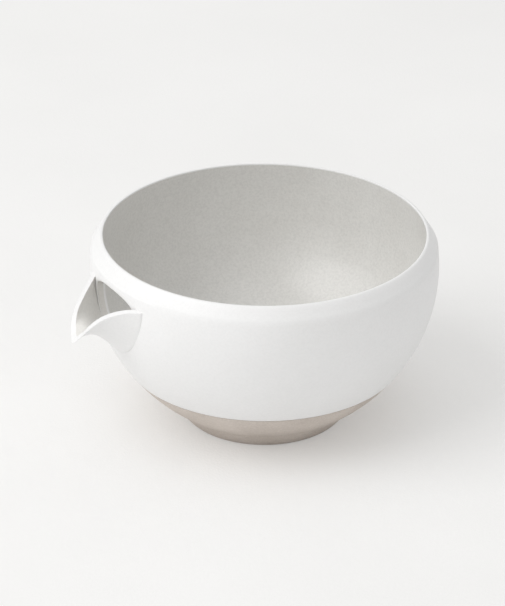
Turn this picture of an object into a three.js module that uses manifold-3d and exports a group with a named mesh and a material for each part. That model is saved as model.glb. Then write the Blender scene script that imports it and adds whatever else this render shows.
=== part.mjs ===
// Spouted bowl: a thrown stoneware bowl on a turned foot ring, with a hand-formed pouring spout
// luted over a hole under its shoulder. Millimetres, +Z up. The spout points along -X, the bowl
// rests on z = 0, and the origin is under the middle of the overall outline.

import * as THREE from 'three';
import { mergeVertices } from 'three/addons/utils/BufferGeometryUtils.js';
import Module from 'manifold-3d';

const wasm = await Module();
wasm.setup();

// Overall sizes of the bowl.
const bowlRadius = 60;
const rimHeight = 68.3;

// Shoulder: it slopes in from the crease to a narrow lip. Drops are counted from the rim.
const creaseDrop = 4.9;
const lipInset = 3.7;
const lipWidth = 1;

// The belly is one arc. Its centre lies level with the widest place, a little way out from the
// bowl's axis.
const widestDrop = 12.3;
const arcCentreRadius = 2.5;

// Foot ring and underside.
const footHeight = 6.5;
const footTopRadius = 33;
const footRadius = 27.6;
const footWidth = 5.2;
const footRecessDraft = 0.8;
const undersideBulge = 0.85;
const glazeLineHeight = 20.6;

// Inside of the bowl: a rounded form, deeper than a half ball and slightly squared at the bottom.
const wall = 3.4;
const floorThickness = 4.5;
const insideSquareness = 2.35;

// Glaze coats and the narrow clearances between pieces.
const glazeThickness = 0.35;
const glazeGap = 0.1;
const seamGap = 0.3;

// A face set in from the finished surface has its crease lower by this share of the inset.
const creaseShift = 1 / 3;

// Spout: a trough with a drooping tip. It starts a little inside the belly's widest radius and
// hangs out past it. Drops are counted from the crease.
const spoutOverhang = 14.7;
const spoutRootSink = 2.4;
const spoutHalfWidth = 17.4;
const spoutTopDrop = 4;
const spoutBottomDrop = 25.5;
const spoutTipDrop = 18.3;
const spoutRimWidth = 1.7;
const spoutRimRise = 0.5;
const spoutTipRise = 2;
const spoutFloor = 2.7;
const sectionSquareness = 1.8;

// The trough's blank runs this far inside its root, to be cut to the wall's face.
const rootOverrun = 8.6;

// Places on the spout's outer edge: after the root, as steps out, in from the half width and
// down; and before the tip, as steps back, out from the middle and up.
const rootEdgeStep = [4.6, 4.5, 1];
const tipEdgeSteps = [
  [7.4, 8.9, 10.7],
  [3.3, 6, 6.7],
  [1.2, 3.2, 2.9],
];

// Handles of the keel's curve: out and up from the root, back and up from the tip.
const keelRootHandle = [4, 3.6];
const keelTipHandle = [4.7, 7.9];

// Hole in the wall behind the spout: narrower than the trough, its sill above the trough's
// bottom and its head above the trough's top corners.
const holeSideMargin = 4.9;
const holeSill = 3.6;
const holeHeadroom = 1.8;
const holeWidestDrop = 2.4;
const holeTopSquareness = 2.2;

// How finely the curved faces are divided, and how close two points are to be one.
const turnSteps = 48;
const bellySteps = 8;
const undersideSteps = 4;
const insideSteps = 8;
const spoutSteps = 12;
const sectionSteps = 8;
const mergeDistance = 1e-4;

const creaseHeight = rimHeight - creaseDrop;
const widestHeight = rimHeight - widestDrop;
const bellyArcRadius = bowlRadius - arcCentreRadius;
const lipOuterRadius = bowlRadius - lipInset;
const lipInnerRadius = lipOuterRadius - lipWidth;
const floorHeight = footHeight + floorThickness;
const insideDepth = widestHeight - floorHeight;
const clayInset = glazeThickness + glazeGap;
const clayLedgeHeight = glazeLineHeight - glazeGap;
const spoutReach = bowlRadius + spoutOverhang;
const spoutRootDistance = bowlRadius - spoutRootSink;
const spoutRootTop = creaseHeight - spoutTopDrop;
const spoutRootBottom = creaseHeight - spoutBottomDrop;
const spoutTipHeight = creaseHeight - spoutTipDrop;
const holeHalfWidth = spoutHalfWidth - holeSideMargin;
const holeTop = spoutRootTop + holeHeadroom;
const holeWidestHeight = spoutRootTop - holeWidestDrop;
const holeBottom = spoutRootBottom + holeSill;
const axisX = spoutOverhang / 2;

// Radius of the belly at a height, set in from the finished surface by an inset.
function bellyRadius(z, inset) {
  const arc = bellyArcRadius - inset;
  return arcCentreRadius + Math.sqrt(arc * arc - (z - widestHeight) ** 2);
}

function steps(count) {
  return Array.from({ length: count + 1 }, (_, i) => i / count);
}

// Points up the belly from one height to another.
function bellyPoints(from, to, inset) {
  return steps(bellySteps).map((s) => {
    const z = from + (to - from) * s;
    return [bellyRadius(z, inset), z];
  });
}

// Point of the sloping shoulder at a height, set in square to the slope.
function shoulderPoint(z, inset) {
  const crease = bellyRadius(creaseHeight, 0);
  const run = crease - lipOuterRadius;
  const rise = rimHeight - creaseHeight;
  const slope = Math.hypot(run, rise);
  const radius = crease - (rise / slope) * inset;
  const height = creaseHeight - (run / slope) * inset;
  return [radius - (run / rise) * (z - height), z];
}

// Points of the inside, from the middle of the floor up to the lip, set back into the wall.
function insidePoints(setBack, top) {
  const widest = bowlRadius - wall + setBack;
  const depth = insideDepth + setBack;
  const points = steps(insideSteps).map((s) => {
    const turn = (Math.PI / 2) * s;
    const radius = widest * Math.sin(turn) ** (2 / insideSquareness);
    const height = widestHeight - depth * Math.cos(turn) ** (2 / insideSquareness);
    return [radius, height];
  });
  points[0][0] = 0;
  points.push([lipInnerRadius + setBack, top]);
  return points;
}

// Underside of the bowl between the foot and the glaze line, bulging a little.
function undersidePoints() {
  const bottom = [footTopRadius, footHeight];
  const top = [bellyRadius(clayLedgeHeight, 0), clayLedgeHeight];
  const length = Math.hypot(top[0] - bottom[0], top[1] - bottom[1]);
  const out = [(top[1] - bottom[1]) / length, -(top[0] - bottom[0]) / length];
  return steps(undersideSteps).map((s) => {
    const bulge = undersideBulge * 4 * s * (1 - s);
    return [0, 1].map((k) => bottom[k] + (top[k] - bottom[k]) * s + out[k] * bulge);
  });
}

function toSolid(geometry) {
  const plain = geometry.clone();
  plain.deleteAttribute('normal');
  plain.deleteAttribute('uv');
  const merged = mergeVertices(plain, mergeDistance);
  return new wasm.Manifold(new wasm.Mesh({
    numProp: 3,
    vertProperties: merged.attributes.position.array,
    triVerts: new Uint32Array(merged.index.array),
  }));
}

function toGeometry(solid) {
  const mesh = solid.getMesh();
  const geometry = new THREE.BufferGeometry();
  geometry.setAttribute('position', new THREE.BufferAttribute(mesh.vertProperties, 3));
  geometry.setIndex(new THREE.BufferAttribute(mesh.triVerts, 1));
  geometry.computeVertexNormals();
  return geometry;
}

// Turns an outline of [radius, height] points round the bowl's axis.
function turned(outline) {
  const points = outline.map(([r, z]) => new THREE.Vector2(r, z));
  const geometry = new THREE.LatheGeometry(points, turnSteps);
  geometry.rotateX(Math.PI / 2);
  return toSolid(geometry);
}

// Half of a rounded outline in [across, height] points, from the widest height to a peak.
function arch(halfWidth, widest, peak, squareness) {
  return steps(2 * sectionSteps).map((s) => {
    const turn = Math.PI * s;
    const side = Math.sign(Math.cos(turn)) * Math.abs(Math.cos(turn)) ** (2 / squareness);
    return [halfWidth * side, widest + (peak - widest) * Math.sin(turn) ** (2 / squareness)];
  });
}

// Prism along -X with an outline in [across, height], cutting through the wall on the spout's side.
function wallCutter(outline) {
  const shape = new THREE.Shape(outline.map(([y, z]) => new THREE.Vector2(y, z)));
  const geometry = new THREE.ExtrudeGeometry(shape, { depth: bowlRadius, bevelEnabled: false });
  geometry.rotateX(Math.PI / 2);
  geometry.rotateZ(-Math.PI / 2);
  geometry.translate(-bowlRadius / 2, 0, 0);
  return toSolid(geometry);
}

function holeOutline() {
  const upper = arch(holeHalfWidth, holeWidestHeight, holeTop, holeTopSquareness);
  const lower = arch(holeHalfWidth, holeWidestHeight, holeBottom, sectionSquareness);
  return [...upper, ...lower.reverse().slice(1, -1)];
}

function rootOutline(clearance) {
  const lower = arch(spoutHalfWidth + clearance, spoutRootTop + clearance,
    spoutRootBottom - clearance, sectionSquareness);
  return lower.reverse();
}

// Outer edge line of the spout, as [distance, across, height] from the root to the tip. It runs
// on past the tip to its mirror image, so that the tip is round.
function outerEdgeLine() {
  const [out, inward, down] = rootEdgeStep;
  const near = [
    [spoutRootDistance, spoutHalfWidth, spoutRootTop],
    [spoutRootDistance + out, spoutHalfWidth - inward, spoutRootTop - down],
    ...tipEdgeSteps.map(([back, across, up]) => [spoutReach - back, across, spoutTipHeight + up]),
  ];
  const far = near.map(([u, w, z]) => [u, -w, z]).reverse();
  const points = [...near, [spoutReach, 0, spoutTipHeight], ...far];
  return new THREE.CatmullRomCurve3(points.map((p) => new THREE.Vector3(...p)));
}

// Point of the inner edge beside a place on the outer edge: in across the rim and up its slope.
function innerEdgePoint(outerEdge, share) {
  const point = outerEdge.getPoint(share / 2);
  const along = outerEdge.getTangent(share / 2);
  const flat = Math.hypot(along.x, along.y);
  point.x += (spoutRimWidth * along.y) / flat;
  point.y -= (spoutRimWidth * along.x) / flat;
  point.z += spoutRimRise + (spoutTipRise - spoutRimRise) * share ** 2;
  return point;
}

// Lowest line of the spout's outer face, from the root out to the tip.
function outerKeelLine() {
  const [rootOut, rootUp] = keelRootHandle;
  const [tipBack, tipUp] = keelTipHandle;
  return new THREE.CubicBezierCurve3(
    new THREE.Vector3(spoutRootDistance, 0, spoutRootBottom),
    new THREE.Vector3(spoutRootDistance + rootOut, 0, spoutRootBottom + rootUp),
    new THREE.Vector3(spoutReach - tipBack, 0, spoutTipHeight + tipUp),
    new THREE.Vector3(spoutReach, 0, spoutTipHeight),
  );
}

// One rounded cross-section of the spout's outer or inner face.
function sectionPoints(edge, keel) {
  return steps(2 * sectionSteps).map((s) => {
    const turn = Math.PI * s;
    const side = Math.sign(Math.cos(turn)) * Math.abs(Math.cos(turn)) ** (2 / sectionSquareness);
    const drop = Math.sin(turn) ** (2 / sectionSquareness);
    return [
      -(edge.x + (keel.x - edge.x) * drop),
      edge.y * side,
      edge.z + (keel.z - edge.z) * drop,
    ];
  });
}

// The spout's trough: rings of outer and inner points, closed at the root and drawn to the tip.
function spoutSolid() {
  const outerEdge = outerEdgeLine();
  const outerKeel = outerKeelLine();
  const rings = [];
  for (const s of steps(spoutSteps)) {
    const outerPoint = outerEdge.getPoint(s / 2);
    const innerPoint = innerEdgePoint(outerEdge, s);
    const outerBase = outerKeel.getPoint(s);
    const innerBase = outerBase.clone();
    innerBase.x -= spoutRimWidth * s ** 3;
    innerBase.z += spoutFloor + (spoutTipRise - spoutFloor) * s ** 3;
    if (s === 1) {
      outerBase.copy(outerPoint);
      innerBase.copy(innerPoint);
      outerPoint.y = 0;
      innerPoint.y = 0;
    }
    const outer = sectionPoints(outerPoint, outerBase);
    const inner = sectionPoints(innerPoint, innerBase);
    rings.push([...outer, ...inner.reverse()]);
  }
  const rootInside = spoutRootDistance - rootOverrun;
  rings.unshift(rings[0].map(([, y, z]) => [-rootInside, y, z]));

  const size = rings[0].length;
  const half = size / 2;
  const index = [];
  for (let r = 0; r + 1 < rings.length; r += 1) {
    for (let k = 0; k < size; k += 1) {
      const a = r * size + k;
      const b = r * size + ((k + 1) % size);
      index.push(a, b, b + size, a, b + size, a + size);
    }
  }
  for (let k = 0; k + 1 < half; k += 1) {
    const a = k;
    const b = size - 1 - k;
    index.push(a, b, b - 1, a, b - 1, a + 1);
  }
  const geometry = new THREE.BufferGeometry();
  geometry.setAttribute('position', new THREE.Float32BufferAttribute(rings.flat(2), 3));
  geometry.setIndex(index);
  const merged = mergeVertices(geometry, mergeDistance);
  const kept = [];
  for (let k = 0; k < merged.index.count; k += 3) {
    const [a, b, c] = [0, 1, 2].map((j) => merged.index.getX(k + j));
    if (a !== b && b !== c && c !== a) kept.push(a, b, c);
  }
  merged.setIndex(kept);
  return new wasm.Manifold(new wasm.Mesh({
    numProp: 3,
    vertProperties: merged.attributes.position.array,
    triVerts: new Uint32Array(kept),
  }));
}

const part = new THREE.Group();
const bowl = new THREE.Group();
bowl.position.x = axisX;
part.add(bowl);

function addPiece(name, solid, colour, roughness) {
  const material = new THREE.MeshStandardMaterial({ color: colour, roughness, metalness: 0 });
  const mesh = new THREE.Mesh(toGeometry(solid), material);
  mesh.name = name;
  bowl.add(mesh);
}

const hole = wallCutter(holeOutline());

// Thrown stoneware wall and floor.
const clayTop = rimHeight - clayInset;
const bodyOutline = [
  [0, footHeight],
  ...undersidePoints(),
  ...bellyPoints(clayLedgeHeight, creaseHeight - clayInset * creaseShift, clayInset),
  shoulderPoint(clayTop, clayInset),
  ...insidePoints(clayInset, clayTop).reverse(),
];
addPiece('bowl_body', turned(bodyOutline).subtract(hole), 0xb4a99e, 0.85);

// Turned foot ring with its recess.
const footInnerRadius = footRadius - footWidth;
const footOutline = [
  [footInnerRadius, 0],
  [footRadius, 0],
  [footTopRadius, footHeight],
  [footInnerRadius - footRecessDraft, footHeight],
  [footInnerRadius, 0],
];
addPiece('foot_ring', turned(footOutline), 0x9c9086, 0.88);

// Pouring spout, bedded against the clay wall.
const wallBehindSpout = turned([
  [0, glazeLineHeight],
  ...bellyPoints(glazeLineHeight, creaseHeight, clayInset - seamGap),
  [0, creaseHeight],
]);
addPiece('spout', spoutSolid().subtract(wallBehindSpout), 0xf2f1ee, 0.5);

// White outer glaze, from its line above the foot over the shoulder to the lip.
const outerCoat = turned([
  ...bellyPoints(glazeLineHeight, creaseHeight, 0),
  [lipOuterRadius, rimHeight],
  [lipInnerRadius, rimHeight],
  [lipInnerRadius, rimHeight - glazeThickness],
  shoulderPoint(rimHeight - glazeThickness, glazeThickness),
  ...bellyPoints(glazeLineHeight, creaseHeight - glazeThickness * creaseShift, glazeThickness)
    .reverse(),
  [bellyRadius(glazeLineHeight, 0), glazeLineHeight],
]);
const rootCut = wallCutter(rootOutline(seamGap));
addPiece('outer_glaze', outerCoat.subtract(rootCut).subtract(hole), 0xf4f3f0, 0.5);

// Grey satin glaze inside.
const innerCoat = turned([
  ...insidePoints(glazeThickness, rimHeight - clayInset),
  ...insidePoints(0, rimHeight - clayInset).reverse(),
]);
addPiece('inner_glaze', innerCoat.subtract(hole), 0xb3b2ac, 0.42);

export default part;
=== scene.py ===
# Looks of a spouted bowl: fine surfaces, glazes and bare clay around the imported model.
# Metres, +Z up, the spout towards -X and the foot on z = 0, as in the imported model.

import math
import bmesh
import bpy
import numpy as np
from mathutils import Matrix, Vector


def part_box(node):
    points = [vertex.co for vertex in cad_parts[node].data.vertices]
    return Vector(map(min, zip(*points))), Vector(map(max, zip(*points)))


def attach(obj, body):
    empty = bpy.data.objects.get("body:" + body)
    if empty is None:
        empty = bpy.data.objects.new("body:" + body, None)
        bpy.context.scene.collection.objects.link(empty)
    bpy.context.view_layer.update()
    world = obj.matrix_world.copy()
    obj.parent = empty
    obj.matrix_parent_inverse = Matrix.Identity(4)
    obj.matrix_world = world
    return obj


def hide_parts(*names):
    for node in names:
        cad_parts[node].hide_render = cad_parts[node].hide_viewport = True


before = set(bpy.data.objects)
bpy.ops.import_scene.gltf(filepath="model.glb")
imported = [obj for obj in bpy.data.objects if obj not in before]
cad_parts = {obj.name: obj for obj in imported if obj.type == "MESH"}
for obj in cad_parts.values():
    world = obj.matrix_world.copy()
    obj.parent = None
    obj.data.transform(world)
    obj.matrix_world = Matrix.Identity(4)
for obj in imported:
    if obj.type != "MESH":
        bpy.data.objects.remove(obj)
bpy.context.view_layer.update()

MM = 0.001

# Camera, as angles round the bowl and places in the 505 by 606 picture.
IMAGE_WIDTH, IMAGE_HEIGHT = 505, 606
CAMERA_DISTANCE = 1.2
CAMERA_ELEVATION = math.radians(27.46)
SPOUT_TURN = math.radians(30.7)
CAMERA_ROLL = math.radians(0.17)
TARGET_HEIGHT = 33 * MM
TARGET_PIXEL = (264.25, 323.1)
FOCAL_PIXELS = 3463
SENSOR = 36

# Bowl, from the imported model's boxes.
coat_low, coat_high = (Vector(v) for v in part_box("outer_glaze"))
foot_low, foot_high = (Vector(v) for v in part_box("foot_ring"))
AXIS_X = (foot_low.x + foot_high.x) / 2
BOWL_RADIUS = (coat_high.y - coat_low.y) / 2
RIM_HEIGHT = coat_high.z
FOOT_HEIGHT = foot_high.z
GLAZE_LINE = coat_low.z

# Profile of the bowl: one belly arc, a sloping shoulder and a narrow lip.
WIDEST_HEIGHT = 56 * MM
BELLY_ARC = 57.5 * MM
CREASE_HEIGHT = 63.4 * MM
LIP_OUTER = 56.3 * MM
LIP_WIDTH = 1.0 * MM
LIP_CURVE = 1.6
WALL = 3.4 * MM
FLOOR_HEIGHT = 11 * MM
INSIDE_SQUARENESS = 2.35
COAT = 0.35 * MM
CLAY_INSET = 0.45 * MM
UNDERSIDE_BULGE = 0.85 * MM
FOOT_TOP_RADIUS = 33 * MM
FOOT_RADIUS = 27.6 * MM
FOOT_WIDTH = 5.2 * MM
FOOT_EDGE = 0.7 * MM
RECESS_DRAFT = 0.8 * MM

# Hole in the wall behind the spout.
HOLE_HALF_WIDTH = 12.5 * MM
HOLE_TOP = 61.2 * MM
HOLE_WIDEST = 57 * MM
HOLE_BOTTOM = 41.5 * MM
HOLE_TOP_SQUARENESS = 2.2
HOLE_ROUNDING = 0.9 * MM
LINING_HOLE_ROUNDING = HOLE_ROUNDING * 1.02

# Spout.
SPOUT_REACH = 74.7 * MM
SPOUT_ROOT = 57.6 * MM
SPOUT_HALF_WIDTH = 17.4 * MM
SPOUT_TOP = 59.4 * MM
SPOUT_BOTTOM = 37.9 * MM
SPOUT_TIP = 45.1 * MM
SPOUT_RIM_WIDTH = 1.7 * MM
SPOUT_RIM_RISE = 0.5 * MM
SPOUT_TIP_RISE = 2 * MM
SPOUT_FLOOR = 2.7 * MM
SECTION_SQUARENESS = 1.8
SPOUT_EMBED = 1.2 * MM
ROOT_FILLET = 1.3 * MM
ROOT_FILLET_SHARE = 0.12
EDGE_ROUNDING = 0.55 * MM

# Fineness of the meshes. The window is the square patch of the wall round the hole.
TURN_STEPS = 240
WINDOW_STEPS = 14
WINDOW_LOW = 36.5 * MM
PATCH_RINGS = 8
HOLE_STEPS = 200
SECTION_STEPS = 36
SPOUT_STATIONS = 40
ROWS_BELOW_WINDOW = 14
ROWS_BESIDE_HOLE = 14
ROWS_BESIDE_HOLE_TOP = 6
ROWS_ABOVE_WINDOW = 4
LINING_FLOOR_ROWS = 12
UNDERSIDE_ROWS = 16
CLAY_OUTSIDE_ROWS = 10
CLAY_INSIDE_ROWS = 24
FOOT_ROWS = 6

# Smallest sizes told apart, and the angles in degrees past which an edge is drawn sharp.
ON_AXIS = 1e-9
NEAR_AXIS = 0.002 * MM
LEAST_KNOT = 1e-4
MERGE_DISTANCE = 0.004 * MM
DEGENERATE_LENGTH = 0.002 * MM
TURNED_SHARP = 40
WALL_SHARP = 35
SPOUT_SHARP = 50

# Heights where the lining's floor meets its wall, and the clay's outside turns inwards.
LINING_FLOOR_TOP = 13 * MM
CLAY_TOP = 34 * MM

# Colours of the bare clay.
CLAY_LIGHT = (0.70, 0.635, 0.58)
CLAY_DARK = (0.62, 0.558, 0.505)

# Floor cloth, with the share of its own white that the camera sees, and the world's light.
FLOOR_SIZE = 8
FLOOR_WHITE = (0.935, 0.925, 0.905, 1)
FLOOR_OWN_SHARE = 0.3
WORLD_STRENGTH = 0.64

ARC_CENTRE = BOWL_RADIUS - BELLY_ARC
LIP_INNER = LIP_OUTER - LIP_WIDTH
LINING_TOP = RIM_HEIGHT - CLAY_INSET


def belly_radius(z, inset=0.0):
    """Radius of the belly's arc at a height, set in from the finished surface."""
    arc = BELLY_ARC - inset
    return ARC_CENTRE + math.sqrt(max(arc * arc - (z - WIDEST_HEIGHT) ** 2, 0))


def inside_radius(z, set_back=0.0):
    """Radius of the inside face at a height, set back into the wall. It curves in to the lip."""
    widest = BOWL_RADIUS - WALL + set_back
    if z >= WIDEST_HEIGHT:
        share = (z - WIDEST_HEIGHT) / (RIM_HEIGHT - WIDEST_HEIGHT)
        lip = LIP_INNER + set_back
        return widest + (lip - widest) * share ** LIP_CURVE
    depth = WIDEST_HEIGHT - FLOOR_HEIGHT + set_back
    drop = min((WIDEST_HEIGHT - z) / depth, 1)
    return widest * (1 - drop ** INSIDE_SQUARENESS) ** (1 / INSIDE_SQUARENESS)


def shoulder_radius(z, inset):
    """Radius of the sloping shoulder at a height, set in square to the slope."""
    run = belly_radius(CREASE_HEIGHT) - LIP_OUTER
    rise = RIM_HEIGHT - CREASE_HEIGHT
    slope = math.hypot(run, rise)
    radius = belly_radius(CREASE_HEIGHT) - rise / slope * inset
    height = CREASE_HEIGHT - run / slope * inset
    return radius - run / rise * (z - height)


def outside_radius(z, inset=0.0):
    if z <= CREASE_HEIGHT:
        return belly_radius(z, inset)
    return min(belly_radius(z, inset), shoulder_radius(z, inset))


def between(low, high, count):
    """Evenly spaced values from low to high, with both ends."""
    return [low + (high - low) * k / count for k in range(count + 1)]


def set_smooth(mesh, angle):
    for polygon in mesh.polygons:
        polygon.use_smooth = True
    mesh.set_sharp_from_angle(angle=math.radians(angle))


def make_piece(name, vertices, faces, material, node, sharp):
    mesh = bpy.data.meshes.new(name)
    mesh.from_pydata([tuple(v) for v in vertices], [], faces)
    mesh.validate()
    mesh.update()
    piece = bpy.data.objects.new(name, mesh)
    bpy.context.scene.collection.objects.link(piece)
    mesh.materials.append(material)
    set_smooth(mesh, sharp)
    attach(piece, "root")
    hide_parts(node)
    return piece


class Builder:
    """Collects the vertices and faces of one mesh."""

    def __init__(self):
        self.vertices = []
        self.faces = []

    def ring(self, points):
        """Adds vertices and gives their numbers."""
        start = len(self.vertices)
        self.vertices.extend(points)
        return list(range(start, len(self.vertices)))

    def bridge(self, first, second):
        """Joins two closed rings of as many vertices with four-sided faces."""
        count = len(first)
        for k in range(count):
            n = (k + 1) % count
            self.faces.append((first[k], first[n], second[n], second[k]))


def around(radius, z):
    """Points round the bowl at one height, from the side away from the spout."""
    points = []
    for k in range(TURN_STEPS):
        turn = 2 * math.pi * k / TURN_STEPS
        points.append((AXIS_X + radius * math.cos(turn), radius * math.sin(turn), z))
    return points


def turned_solid(name, outline, material, node):
    """A closed turned piece. The outline's ends on the axis become single points."""
    build = Builder()
    rings = []
    for radius, z in outline:
        if radius < ON_AXIS:
            build.vertices.append((AXIS_X, 0, z))
            rings.append([len(build.vertices) - 1] * TURN_STEPS)
        else:
            rings.append(build.ring(around(radius, z)))
    pairs = list(zip(rings, rings[1:]))
    if outline[0][0] > ON_AXIS:
        pairs.append((rings[-1], rings[0]))
    for first, second in pairs:
        for k in range(TURN_STEPS):
            n = (k + 1) % TURN_STEPS
            face = tuple(dict.fromkeys((first[k], first[n], second[n], second[k])))
            if len(face) > 2:
                build.faces.append(face)
    make_piece(name, build.vertices, build.faces, material, node, TURNED_SHARP)


def hole_quadrants(grow):
    """The hole's outline, grown a little, as four runs from +Y round over the top."""
    half = HOLE_HALF_WIDTH + grow
    upper = HOLE_TOP - HOLE_WIDEST + grow
    lower = HOLE_WIDEST - HOLE_BOTTOM + grow
    runs = []
    for quarter in range(4):
        rise = upper if quarter < 2 else lower
        power = HOLE_TOP_SQUARENESS if quarter < 2 else SECTION_SQUARENESS
        run = []
        for k in range(HOLE_STEPS + 1):
            turn = math.pi / 2 * (quarter + k / HOLE_STEPS)
            across, up = math.cos(turn), math.sin(turn)
            run.append((
                half * math.copysign(abs(across) ** (2 / power), across),
                HOLE_WIDEST + rise * math.copysign(abs(up) ** (2 / power), up),
            ))
        runs.append(np.array(run))
    return runs


def resample(run, count):
    """Points at even steps along a run, without its last one."""
    length = np.r_[0, np.cumsum(np.hypot(*np.diff(run, axis=0).T))]
    wanted = np.linspace(0, length[-1], count + 1)[:-1]
    return np.c_[np.interp(wanted, length, run[:, 0]), np.interp(wanted, length, run[:, 1])]


def hole_ring(grow, counts):
    """Points round the hole in [across, height], with as many in each quarter as counts says."""
    return np.vstack([resample(run, count) for run, count in zip(hole_quadrants(grow), counts)])


def window_runs(columns, heights):
    """The window's edge in [column, row] steps, and its count of steps for each quarter."""
    middle = int(np.argmin([abs(z - HOLE_WIDEST) for z in heights]))
    top = len(heights) - 1
    right = [(columns, row) for row in range(middle, top)]
    over = [(column, top) for column in range(columns, -columns, -1)]
    left = [(-columns, row) for row in range(top, 0, -1)]
    under = [(column, 0) for column in range(-columns, columns)]
    up = [(columns, row) for row in range(0, middle)]
    edge = right + over + left + under + up
    first = len(right) + columns
    second = first + columns + (top - middle)
    third = second + middle + columns
    counts = (first, second - first, third - second, len(edge) - third)
    return edge, counts


def on_surface(across, z, radius):
    """Point on the spout's side of the bowl at a place across and a height."""
    return (AXIS_X - math.sqrt(max(radius * radius - across * across, 0)), across, z)


def wall_piece(name, outer, inner, ends, loops, material, node, sleeve_material=None):
    """A closed piece of the wall between two faces, with the hole cut through both.

    outer and inner are (heights, window rows, radius function). ends says how the faces join
    below and above, as lists of (radius, height). loops are (grow, radius function) through
    the hole from the outer face to the inner. Where grow is 0 they form the sleeve."""
    build = Builder()
    spout_column = TURN_STEPS // 2
    sleeve_faces = []

    def face(spec, grow, flip):
        heights, (low, high), radius_at = spec
        rings = [build.ring(around(radius_at(z), z)) for z in heights]
        for row in range(len(rings) - 1):
            for k in range(TURN_STEPS):
                n = (k + 1) % TURN_STEPS
                inside = abs(k + 0.5 - spout_column) < WINDOW_STEPS
                if inside and low <= row < high:
                    continue
                quad = (rings[row][k], rings[row][n], rings[row + 1][n], rings[row + 1][k])
                build.faces.append(quad[::-1] if flip else quad)
        edge, counts = window_runs(WINDOW_STEPS, heights[low:high + 1])
        # Columns are counted towards +Y, against the turn round the bowl.
        window = [rings[low + row][spout_column - column] for column, row in edge]
        hole = hole_ring(grow, counts)
        edge_points = np.array([[build.vertices[v][1], build.vertices[v][2]] for v in window])
        previous = window
        for ring in range(1, PATCH_RINGS + 1):
            share = ring / PATCH_RINGS
            flat = edge_points * (1 - share) + hole * share
            current = build.ring([on_surface(y, z, radius_at(z)) for y, z in flat])
            count = len(current)
            for k in range(count):
                n = (k + 1) % count
                quad = (previous[k], current[k], current[n], previous[n])
                build.faces.append(quad if flip else quad[::-1])
            previous = current
        return rings, previous, counts

    outer_rings, outer_hole, counts = face(outer, loops[0][0], False)
    inner_rings, inner_hole, inner_counts = face(inner, loops[-1][0], True)
    assert counts == inner_counts, "both faces need the same window"
    previous = outer_hole
    for grow, radius_at in loops[1:-1]:
        hole = hole_ring(grow, counts)
        current = build.ring([on_surface(y, z, radius_at(z)) for y, z in hole])
        start = len(build.faces)
        build.bridge(current, previous)
        if grow == 0:
            sleeve_faces.extend(range(start, len(build.faces)))
        previous = current
    build.bridge(inner_hole, previous)

    below, above = ends
    previous = outer_rings[0]
    for radius, z in below:
        current = build.ring(around(radius, z))
        build.bridge(current, previous)
        previous = current
    build.bridge(inner_rings[0], previous)
    previous = outer_rings[-1]
    for radius, z in above:
        current = build.ring(around(radius, z))
        build.bridge(previous, current)
        previous = current
    build.bridge(previous, inner_rings[-1])
    piece = make_piece(name, build.vertices, build.faces, material, node, WALL_SHARP)
    if sleeve_material:
        piece.data.materials.append(sleeve_material)
        for number in sleeve_faces:
            piece.data.polygons[number].material_index = 1


def new_material(name):
    material = bpy.data.materials.new(name)
    material.use_nodes = True
    return material, material.node_tree.nodes, material.node_tree.links


# Small helpers that add nodes to a material and give back their output.
def add_noise(nodes, links, coordinates, scale, detail, roughness=0.55):
    noise = nodes.new("ShaderNodeTexNoise")
    noise.inputs["Scale"].default_value = scale
    noise.inputs["Detail"].default_value = detail
    noise.inputs["Roughness"].default_value = roughness
    links.new(coordinates, noise.inputs["Vector"])
    return noise.outputs["Fac"]


def add_ramp(nodes, links, source, stops):
    ramp = nodes.new("ShaderNodeValToRGB")
    elements = ramp.color_ramp.elements
    while len(elements) < len(stops):
        elements.new(0.5)
    for element, (place, colour) in zip(elements, stops):
        element.position = place
        element.color = (*colour, 1)
    links.new(source, ramp.inputs["Fac"])
    return ramp.outputs["Color"]


def multiply_colours(nodes, links, first, second):
    mix = nodes.new("ShaderNodeMix")
    mix.data_type = "RGBA"
    mix.blend_type = "MULTIPLY"
    mix.inputs["Factor"].default_value = 1
    # Inputs 6 and 7 are the two colours of this node, and output 2 is their mix.
    links.new(first, mix.inputs[6])
    links.new(second, mix.inputs[7])
    return mix.outputs[2]


def add_bump(nodes, links, shader, layers):
    """Bump layers as (height source, distance in metres, strength), each on the one before."""
    normal = None
    for source, distance, strength in layers:
        bump = nodes.new("ShaderNodeBump")
        bump.inputs["Distance"].default_value = distance
        bump.inputs["Strength"].default_value = strength
        links.new(source, bump.inputs["Height"])
        if normal is not None:
            links.new(normal, bump.inputs["Normal"])
        normal = bump.outputs["Normal"]
    links.new(normal, shader.inputs["Normal"])


def add_math(nodes, links, operation, first, second):
    """Arithmetic on an output and either another output or a number."""
    node = nodes.new("ShaderNodeMath")
    node.operation = operation
    links.new(first, node.inputs[0])
    if isinstance(second, float):
        node.inputs[1].default_value = second
    else:
        links.new(second, node.inputs[1])
    return node.outputs[0]


def object_coordinates(nodes):
    return nodes.new("ShaderNodeTexCoord").outputs["Object"]


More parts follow.
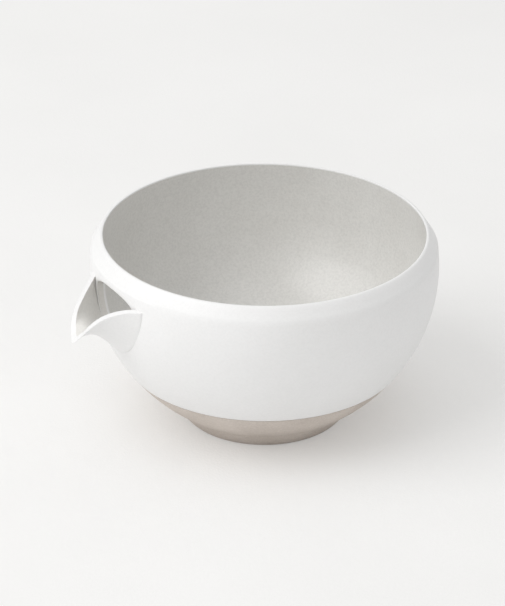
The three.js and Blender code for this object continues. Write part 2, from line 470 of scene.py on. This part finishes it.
def glaze_material(name, light, dark, roughness, grain_depth):
    """Satin glaze: soft mottling, fine grain, a faint orange-peel skin and throwing ridges."""
    material, nodes, links = new_material(name)
    shader = nodes["Principled BSDF"]
    place = object_coordinates(nodes)
    mottle = add_noise(nodes, links, place, scale=38, detail=5)
    grain = add_noise(nodes, links, place, scale=1100, detail=3, roughness=0.7)
    base = add_ramp(nodes, links, mottle, [(0.3, dark), (0.7, light)])
    grain_stops = [(0.32, (1 - grain_depth,) * 3), (0.6, (1, 1, 1))]
    grain_tone = add_ramp(nodes, links, grain, grain_stops)
    colour = multiply_colours(nodes, links, base, grain_tone)
    links.new(colour, shader.inputs["Base Color"])
    rough = add_ramp(nodes, links, mottle, [
        (0.3, (roughness - 0.06,) * 3), (0.7, (roughness + 0.06,) * 3)])
    links.new(rough, shader.inputs["Roughness"])
    shader.inputs["IOR"].default_value = 1.5
    wave = nodes.new("ShaderNodeTexWave")
    wave.bands_direction = "Z"
    wave.inputs["Scale"].default_value = 55
    wave.inputs["Distortion"].default_value = 1.2
    wave.inputs["Detail"].default_value = 2
    wave.inputs["Detail Scale"].default_value = 12
    links.new(place, wave.inputs["Vector"])
    add_bump(nodes, links, shader, [
        (wave.outputs["Fac"], 0.12 * MM, 0.15),
        (mottle, 0.25 * MM, 0.2),
        (grain, 0.05 * MM, 0.3),
    ])
    return material


def clay_material(name):
    """Bare stoneware: sandy grain and turning lines."""
    material, nodes, links = new_material(name)
    shader = nodes["Principled BSDF"]
    place = object_coordinates(nodes)
    mottle = add_noise(nodes, links, place, scale=60, detail=5)
    sand = add_noise(nodes, links, place, scale=1400, detail=3, roughness=0.7)
    pits = add_noise(nodes, links, place, scale=420, detail=3, roughness=0.6)
    base = add_ramp(nodes, links, mottle, [(0.32, CLAY_DARK), (0.68, CLAY_LIGHT)])
    sand_stops = [(0.3, (0.86, 0.85, 0.84)), (0.65, (1, 1, 1))]
    sand_tone = add_ramp(nodes, links, sand, sand_stops)
    colour = multiply_colours(nodes, links, base, sand_tone)
    links.new(colour, shader.inputs["Base Color"])
    shader.inputs["Roughness"].default_value = 0.85
    shader.inputs["Specular IOR Level"].default_value = 0.3
    lines = nodes.new("ShaderNodeTexWave")
    lines.bands_direction = "Z"
    lines.inputs["Scale"].default_value = 190
    lines.inputs["Distortion"].default_value = 2.5
    lines.inputs["Detail"].default_value = 2
    lines.inputs["Detail Scale"].default_value = 20
    links.new(place, lines.inputs["Vector"])
    add_bump(nodes, links, shader, [
        (lines.outputs["Fac"], 0.1 * MM, 0.35),
        (pits, 0.2 * MM, 0.3),
        (sand, 0.08 * MM, 0.6),
    ])
    return material


white_glaze = glaze_material(
    "white_glaze", light=(0.895, 0.892, 0.888), dark=(0.865, 0.862, 0.855),
    roughness=0.42, grain_depth=0.03)
# A darker, warmer copy of the white glaze: painted shade for the sleeve through the hole and the
# spout's trough.
painted_shade_glaze = glaze_material(
    "painted_shade_glaze", light=(0.80, 0.785, 0.755), dark=(0.75, 0.735, 0.70),
    roughness=0.42, grain_depth=0.06)
grey_glaze = glaze_material(
    "grey_glaze", light=(0.77, 0.762, 0.738), dark=(0.715, 0.705, 0.678),
    roughness=0.34, grain_depth=0.1)
bare_clay = clay_material("bare_clay")
foot_clay = clay_material("foot_clay")


def window_heights(low, high):
    """Heights of the rows up a face, and the rows between which the window lies."""
    below = between(low, WINDOW_LOW, ROWS_BELOW_WINDOW)
    beside_lower = between(WINDOW_LOW, HOLE_WIDEST, ROWS_BESIDE_HOLE)
    beside_upper = between(HOLE_WIDEST, CREASE_HEIGHT, ROWS_BESIDE_HOLE_TOP)
    above = between(CREASE_HEIGHT, high, ROWS_ABOVE_WINDOW)
    first = len(below) - 1
    last = first + len(beside_lower) - 1 + len(beside_upper) - 1
    return below + beside_lower[1:] + beside_upper[1:] + above[1:], (first, last)


def depth_radius(depth):
    """Radius function for a depth into the wall, or back from the inside face if negative."""
    if depth >= 0:
        return lambda z: outside_radius(z) - depth
    return lambda z: inside_radius(z) - depth


def coat_back(z):
    return outside_radius(z, COAT)


def lining_back(z):
    return inside_radius(z, COAT)


# White coat, wrapped over the lip and through the hole.
coat_outer = (*window_heights(GLAZE_LINE + 0.3 * MM, RIM_HEIGHT - 0.35 * MM), outside_radius)
coat_inner = (*window_heights(GLAZE_LINE + 0.05 * MM, RIM_HEIGHT - 0.6 * MM), coat_back)

# The sleeve through the hole. Its edges are rounded through places that are given as growth of
# the hole and depth into the wall, in shares of the rounding.
SLEEVE_EDGE = ((0.5, 0.06), (0.16, 0.35))
sleeve_start = [
    (HOLE_ROUNDING * growth, depth_radius(HOLE_ROUNDING * depth))
    for growth, depth in SLEEVE_EDGE]
sleeve_end = [
    (HOLE_ROUNDING * growth, depth_radius(-HOLE_ROUNDING * depth))
    for growth, depth in SLEEVE_EDGE]
sleeve = [
    (HOLE_ROUNDING, outside_radius),
    *sleeve_start,
    (0, depth_radius(HOLE_ROUNDING)),
    (0, depth_radius(-HOLE_ROUNDING)),
    *reversed(sleeve_end),
    (HOLE_ROUNDING, inside_radius),
    (HOLE_ROUNDING, depth_radius(-COAT)),
    (COAT, depth_radius(-HOLE_ROUNDING - COAT)),
    (COAT, depth_radius(HOLE_ROUNDING + COAT)),
    (HOLE_ROUNDING, coat_back),
]

# The coat's rounded ends at its line above the foot and over the lip, as (radius, height).
coat_below = [
    (outside_radius(GLAZE_LINE) - 0.05 * MM, GLAZE_LINE + 0.08 * MM),
    (outside_radius(GLAZE_LINE) - 0.2 * MM, GLAZE_LINE),
]
coat_above = [
    (LIP_OUTER - 0.12 * MM, RIM_HEIGHT - 0.08 * MM),
    (LIP_OUTER - 0.4 * MM, RIM_HEIGHT),
    (LIP_INNER + 0.35 * MM, RIM_HEIGHT),
    (LIP_INNER + 0.1 * MM, RIM_HEIGHT - 0.1 * MM),
    (LIP_INNER, RIM_HEIGHT - 0.35 * MM),
    (LIP_INNER + 0.05 * MM, RIM_HEIGHT - 0.6 * MM),
]
# The sleeve through the hole takes the darker copy of the white glaze as painted shade.
wall_piece("white_coat", coat_outer, coat_inner, (coat_below, coat_above), sleeve,
           white_glaze, "outer_glaze", sleeve_material=painted_shade_glaze)

# Grey lining: its wall, and its floor turned in one.
lining_rows = window_heights(LINING_FLOOR_TOP, LINING_TOP)
lining_ends = (
    [(inside_radius(LINING_FLOOR_TOP, COAT * 0.5), LINING_FLOOR_TOP)],
    [(LIP_INNER + COAT * 0.6, LINING_TOP + 0.02 * MM)],
)
lining_hole = [(LINING_HOLE_ROUNDING, lining_back), (LINING_HOLE_ROUNDING, inside_radius)]
wall_piece("grey_lining", (*lining_rows, lining_back), (*lining_rows, inside_radius), lining_ends,
           lining_hole, grey_glaze, "inner_glaze")

back_heights = between(FLOOR_HEIGHT - COAT + NEAR_AXIS, LINING_FLOOR_TOP, LINING_FLOOR_ROWS)
face_heights = between(LINING_FLOOR_TOP, FLOOR_HEIGHT + NEAR_AXIS, LINING_FLOOR_ROWS)
floor_outline = [(0, FLOOR_HEIGHT - COAT)]
floor_outline += [(lining_back(z), z) for z in back_heights]
floor_outline += [(inside_radius(z), z) for z in face_heights]
floor_outline += [(0, FLOOR_HEIGHT)]
turned_solid("lining_floor", floor_outline, grey_glaze, "inner_glaze")


# Clay wall and underside.
def underside_outline():
    """Points from the foot up to the glaze line, bulging a little."""
    bottom = Vector((FOOT_TOP_RADIUS, FOOT_HEIGHT))
    top = Vector((belly_radius(GLAZE_LINE), GLAZE_LINE))
    along = (top - bottom).normalized()
    out = Vector((along.y, -along.x))
    points = []
    for share in between(0, 1, UNDERSIDE_ROWS):
        bulge = UNDERSIDE_BULGE * 4 * share * (1 - share)
        points.append(tuple(bottom.lerp(top, share) + out * bulge))
    return points


clay_outline = [(0, FOOT_HEIGHT), *underside_outline()]
clay_outside = between(GLAZE_LINE, CLAY_TOP, CLAY_OUTSIDE_ROWS)
clay_inside = between(CLAY_TOP, FLOOR_HEIGHT, CLAY_INSIDE_ROWS)
clay_outline += [(belly_radius(z, CLAY_INSET), z) for z in clay_outside]
clay_outline += [(inside_radius(z, CLAY_INSET), z) for z in clay_inside]
clay_outline += [(0, FLOOR_HEIGHT - CLAY_INSET)]
turned_solid("clay_body", clay_outline, bare_clay, "bowl_body")

# Foot ring with softened edges and a recess that widens upwards.
FOOT_TOP = FOOT_HEIGHT - 0.02 * MM
foot_inner = FOOT_RADIUS - FOOT_WIDTH
slope = (FOOT_TOP_RADIUS - FOOT_RADIUS) / FOOT_HEIGHT
foot_outline = [
    (foot_inner + FOOT_EDGE, 0),
    (FOOT_RADIUS - FOOT_EDGE, 0),
    (FOOT_RADIUS - FOOT_EDGE * 0.3, FOOT_EDGE * 0.1),
    (FOOT_RADIUS + FOOT_EDGE * 0.25, FOOT_EDGE * 0.5),
    (FOOT_RADIUS + slope * FOOT_EDGE * 1.2, FOOT_EDGE * 1.2),
    *[(FOOT_RADIUS + slope * z, z) for z in between(FOOT_EDGE * 2, FOOT_TOP, FOOT_ROWS)],
    (foot_inner - RECESS_DRAFT, FOOT_TOP),
    (foot_inner, FOOT_EDGE),
    (foot_inner + FOOT_EDGE * 0.3, FOOT_EDGE * 0.3),
]
turned_solid("turned_foot", foot_outline, foot_clay, "foot_ring")


# Spout: a trough whose edges run out along smooth lines and meet at a round, drooping tip.
def centripetal(points, share):
    """Point on a centripetal Catmull-Rom curve, its ends continued straight."""
    first = points[0] + (points[0] - points[1])
    last = points[-1] + (points[-1] - points[-2])
    ext = [first, *points, last]
    place = share * (len(points) - 1)
    piece = max(min(int(place), len(points) - 2), 0)
    weight = place - piece
    p0, p1, p2, p3 = ext[piece:piece + 4]
    # The gaps between knots are the roots of the distances between the points.
    d0 = max((p1 - p0).length_squared ** 0.25, LEAST_KNOT)
    d1 = max((p2 - p1).length_squared ** 0.25, LEAST_KNOT)
    d2 = max((p3 - p2).length_squared ** 0.25, LEAST_KNOT)
    m1 = ((p1 - p0) / d0 - (p2 - p0) / (d0 + d1) + (p2 - p1) / d1) * d1
    m2 = ((p2 - p1) / d1 - (p3 - p1) / (d1 + d2) + (p3 - p2) / d2) * d1
    w2, w3 = weight ** 2, weight ** 3
    return (p1 * (2 * w3 - 3 * w2 + 1) + m1 * (w3 - 2 * w2 + weight)
            + p2 * (3 * w2 - 2 * w3) + m2 * (w3 - w2))


def outer_edge_points():
    """Places on the outer edge from the root to the tip and on round to the far root.

    The ones between are measured from the root's corner and from the tip."""
    near = [
        Vector((SPOUT_ROOT, SPOUT_HALF_WIDTH, SPOUT_TOP)),
        Vector((SPOUT_ROOT + 4.6 * MM, SPOUT_HALF_WIDTH - 4.5 * MM, SPOUT_TOP - 1 * MM)),
        Vector((SPOUT_REACH - 7.4 * MM, SPOUT_HALF_WIDTH - 8.5 * MM, SPOUT_TOP - 3.6 * MM)),
        Vector((SPOUT_REACH - 3.3 * MM, SPOUT_HALF_WIDTH - 11.4 * MM, SPOUT_TIP + 6.7 * MM)),
        Vector((SPOUT_REACH - 1.2 * MM, SPOUT_HALF_WIDTH - 14.2 * MM, SPOUT_TIP + 2.9 * MM)),
    ]
    far = [Vector((p.x, -p.y, p.z)) for p in reversed(near)]
    return [*near, Vector((SPOUT_REACH, 0, SPOUT_TIP)), *far]


def inner_edge_point(outer_edge, share):
    """Place on the inner edge: in across the rim from the outer edge and up its slope."""
    point = centripetal(outer_edge, share / 2)
    step = 1e-4
    along = centripetal(outer_edge, share / 2 + step) - centripetal(outer_edge, share / 2 - step)
    flat = math.hypot(along.x, along.y)
    point.x += SPOUT_RIM_WIDTH * along.y / flat
    point.y -= SPOUT_RIM_WIDTH * along.x / flat
    point.z += SPOUT_RIM_RISE + (SPOUT_TIP_RISE - SPOUT_RIM_RISE) * share ** 2
    return point


def outer_keel_point(share):
    """Place on the lowest line of the outer face, from the root out to the tip.

    The line is a Bezier curve, and its handles are measured from its ends."""
    controls = [
        Vector((SPOUT_ROOT, 0, SPOUT_BOTTOM)),
        Vector((SPOUT_ROOT + 4 * MM, 0, SPOUT_BOTTOM + 3.6 * MM)),
        Vector((SPOUT_REACH - 4.7 * MM, 0, SPOUT_TIP + 7.9 * MM)),
        Vector((SPOUT_REACH, 0, SPOUT_TIP)),
    ]
    rest = 1 - share
    weights = (rest ** 3, 3 * share * rest ** 2, 3 * share ** 2 * rest, share ** 3)
    return sum((c * w for c, w in zip(controls, weights)), Vector())


def section(edge, keel):
    """One rounded cross-section between two edges and the keel."""
    points = []
    for k in range(SECTION_STEPS + 1):
        turn = math.pi * k / SECTION_STEPS
        side = math.copysign(abs(math.cos(turn)) ** (2 / SECTION_SQUARENESS), math.cos(turn))
        drop = max(math.sin(turn), 0) ** (2 / SECTION_SQUARENESS)
        points.append(Vector((
            edge.x + (keel.x - edge.x) * drop,
            edge.y * side,
            edge.z + (keel.z - edge.z) * drop,
        )))
    return points


def spout():
    """The trough as rings of outer and inner points, its inner face in the darker copy of the
    white glaze, which is painted shade.
    """
    outer_edge = outer_edge_points()
    rings = []
    for station in range(SPOUT_STATIONS + 1):
        share = station / SPOUT_STATIONS
        outer_point = centripetal(outer_edge, share / 2)
        inner_point = inner_edge_point(outer_edge, share)
        fillet = ROOT_FILLET * max(0, 1 - share / ROOT_FILLET_SHARE) ** 2
        inner_point.y -= fillet
        outer_base = outer_keel_point(share)
        drift = share ** 3
        inner_base = outer_base + Vector((
            -SPOUT_RIM_WIDTH * drift, 0, SPOUT_FLOOR + (SPOUT_TIP_RISE - SPOUT_FLOOR) * drift))
        inner_base.z += fillet
        if station == SPOUT_STATIONS:
            outer_base, inner_base = outer_point.copy(), inner_point.copy()
            outer_point.y = inner_point.y = 0
        outer = section(outer_point, outer_base)
        inner = section(inner_point, inner_base)
        rings.append(outer + inner[::-1])
    root = [Vector((SPOUT_ROOT - SPOUT_EMBED, p.y, p.z)) for p in rings[0]]
    rings.insert(0, root)
    build = Builder()
    rows = [build.ring([(AXIS_X - p.x, p.y, p.z) for p in ring]) for ring in rings]
    for first, second in zip(rows, rows[1:]):
        build.bridge(second, first)
    size = len(rows[0])
    half = size // 2
    trough_faces = [
        row * size + k for row in range(len(rows) - 1) for k in range(half, size - 1)]
    root = rows[0]
    for k in range(half - 1):
        build.faces.append((root[k], root[k + 1], root[size - 2 - k], root[size - 1 - k]))
    piece = make_piece("pouring_spout", build.vertices, build.faces, white_glaze,
                       "spout", SPOUT_SHARP)
    # The trough's inner face takes the darker copy of the white glaze as painted shade.
    piece.data.materials.append(painted_shade_glaze)
    for number in trough_faces:
        piece.data.polygons[number].material_index = 1
    return piece


def soften_edges(piece, rounding):
    """Merges the points drawn together at the tip, then rounds the edges."""
    work = bmesh.new()
    work.from_mesh(piece.data)
    bmesh.ops.remove_doubles(work, verts=work.verts, dist=MERGE_DISTANCE)
    bmesh.ops.dissolve_degenerate(work, dist=DEGENERATE_LENGTH, edges=work.edges)
    bmesh.ops.recalc_face_normals(work, faces=work.faces)
    work.to_mesh(piece.data)
    work.free()
    bevel = piece.modifiers.new("soft_edges", "BEVEL")
    bevel.width = rounding
    bevel.segments = 3
    bevel.limit_method = "ANGLE"
    bevel.angle_limit = math.radians(SPOUT_SHARP)
    set_smooth(piece.data, SPOUT_SHARP)


soften_edges(spout(), EDGE_ROUNDING)


# Floor and light.
def floor_material():
    """White cloth: fine thread, soft creases, and a share of its own white for the camera."""
    material, nodes, links = new_material("floor_cloth")
    shader = nodes["Principled BSDF"]
    output = nodes["Material Output"]
    place = object_coordinates(nodes)
    folds = add_noise(nodes, links, place, scale=9, detail=3)
    tone_stops = [(0.3, (0.885, 0.882, 0.875)), (0.7, (0.925, 0.922, 0.915))]
    tone = add_ramp(nodes, links, folds, tone_stops)
    links.new(tone, shader.inputs["Base Color"])
    shader.inputs["Roughness"].default_value = 0.9
    shader.inputs["Specular IOR Level"].default_value = 0.1
    thread = add_noise(nodes, links, place, scale=900, detail=2, roughness=0.6)
    add_bump(nodes, links, shader, [(folds, 3 * MM, 0.25), (thread, 0.25 * MM, 0.35)])
    own = nodes.new("ShaderNodeEmission")
    own.inputs["Color"].default_value = FLOOR_WHITE
    rays = nodes.new("ShaderNodeLightPath")
    seen = add_math(nodes, links, "MAXIMUM",
                    rays.outputs["Is Camera Ray"], rays.outputs["Is Glossy Ray"])
    seen = add_math(nodes, links, "MAXIMUM", seen, rays.outputs["Is Transmission Ray"])
    share = add_math(nodes, links, "MULTIPLY", seen, FLOOR_OWN_SHARE)
    mix = nodes.new("ShaderNodeMixShader")
    links.new(share, mix.inputs[0])
    links.new(shader.outputs[0], mix.inputs[1])
    links.new(own.outputs[0], mix.inputs[2])
    links.new(mix.outputs[0], output.inputs["Surface"])
    return material


bpy.ops.mesh.primitive_plane_add(size=FLOOR_SIZE, location=(0, 0, 0))
floor = bpy.context.object
floor.name = "floor"
floor.data.materials.append(floor_material())

world = bpy.data.worlds.new("studio")
bpy.context.scene.world = world
world.use_nodes = True
background = world.node_tree.nodes["Background"]
background.inputs["Color"].default_value = (1, 1, 1, 1)
background.inputs["Strength"].default_value = WORLD_STRENGTH


def area_light(name, azimuth, elevation, distance, size, power):
    """A square soft light; azimuth is counted from the camera's side towards screen left."""
    turn = -math.pi / 2 - SPOUT_TURN - math.radians(azimuth)
    rise = math.radians(elevation)
    place = Vector((
        AXIS_X + distance * math.cos(rise) * math.cos(turn),
        distance * math.cos(rise) * math.sin(turn),
        TARGET_HEIGHT + distance * math.sin(rise),
    ))
    data = bpy.data.lights.new(name, "AREA")
    data.shape = "SQUARE"
    data.size = size
    data.energy = power
    light = bpy.data.objects.new(name, data)
    light.location = place
    aim = Vector((AXIS_X, 0, TARGET_HEIGHT)) - place
    light.rotation_euler = aim.to_track_quat("-Z", "Y").to_euler()
    bpy.context.scene.collection.objects.link(light)


area_light("window_light", azimuth=62, elevation=46, distance=1.6, size=1.2, power=12)
area_light("top_light", azimuth=150, elevation=75, distance=1.8, size=2.0, power=3)

# Camera, aimed so that the target falls on its pixel.
up_angle = math.atan((TARGET_PIXEL[1] - IMAGE_HEIGHT / 2) / FOCAL_PIXELS)
pitch = CAMERA_ELEVATION - up_angle
yaw = -math.atan((TARGET_PIXEL[0] - IMAGE_WIDTH / 2) / FOCAL_PIXELS) / math.cos(pitch)
level = math.cos(pitch)
forward = Vector((math.sin(yaw) * level, math.cos(yaw) * level, -math.sin(pitch)))
right = Vector((math.cos(yaw), -math.sin(yaw), 0))
up = right.cross(forward)
rolled_right = right * math.cos(CAMERA_ROLL) + up * math.sin(CAMERA_ROLL)
rolled_up = up * math.cos(CAMERA_ROLL) - right * math.sin(CAMERA_ROLL)
place = Vector((0, -CAMERA_DISTANCE * math.cos(CAMERA_ELEVATION),
                TARGET_HEIGHT + CAMERA_DISTANCE * math.sin(CAMERA_ELEVATION)))
view = Matrix((rolled_right, rolled_up, -forward)).transposed().to_4x4()
view.translation = place
camera_data = bpy.data.cameras.new("photo_camera")
camera_data.sensor_width = SENSOR
camera_data.lens = FOCAL_PIXELS * SENSOR / max(IMAGE_WIDTH, IMAGE_HEIGHT)
camera_data.clip_end = 20
camera = bpy.data.objects.new("photo_camera", camera_data)
turn = Matrix.Rotation(-SPOUT_TURN, 4, "Z")
camera.matrix_world = Matrix.Translation((AXIS_X, 0, 0)) @ turn @ view
bpy.context.scene.collection.objects.link(camera)
bpy.context.scene.camera = camera
bpy.context.scene.view_settings.view_transform = "Standard"

bpy.context.view_layer.update()
